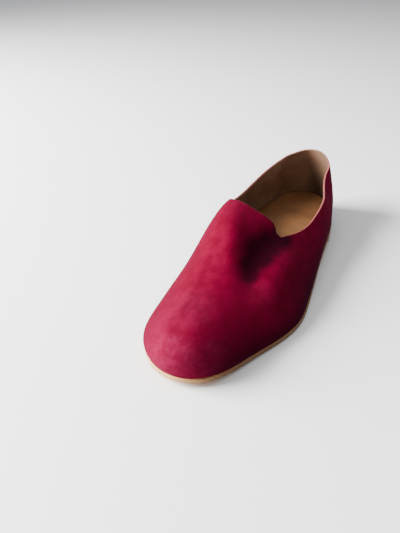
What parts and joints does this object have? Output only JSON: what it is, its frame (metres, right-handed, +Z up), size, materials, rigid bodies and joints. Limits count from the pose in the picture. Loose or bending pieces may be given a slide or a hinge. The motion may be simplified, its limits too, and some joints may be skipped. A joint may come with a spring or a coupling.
{
  "type": "shoe",
  "caption": "Left slip-on shoe with a round toe, high vamp and side notches: a hollow suede upper on a leather sole and low heel, with a leather insole.",
  "frame": {"origin": "middle of the shoe's plan box, on the ground that it stands on", "axes": "+X from heel to toe, +Y to the wearer's left, which is the outer side, +Z up"},
  "size_m": [0.2536, 0.0918, 0.057],
  "materials": {
    "suede": "crimson suede with a short mottled nap",
    "sole_leather": "tan leather with a cut edge",
    "insole_leather": "smooth natural leather",
    "heel_leather": "stacked leather lift"
  },
  "bodies": {
    "root": {"upper": "suede", "outsole": "sole_leather", "insole": "insole_leather", "heel": "heel_leather"}
  },
  "joints": []
}
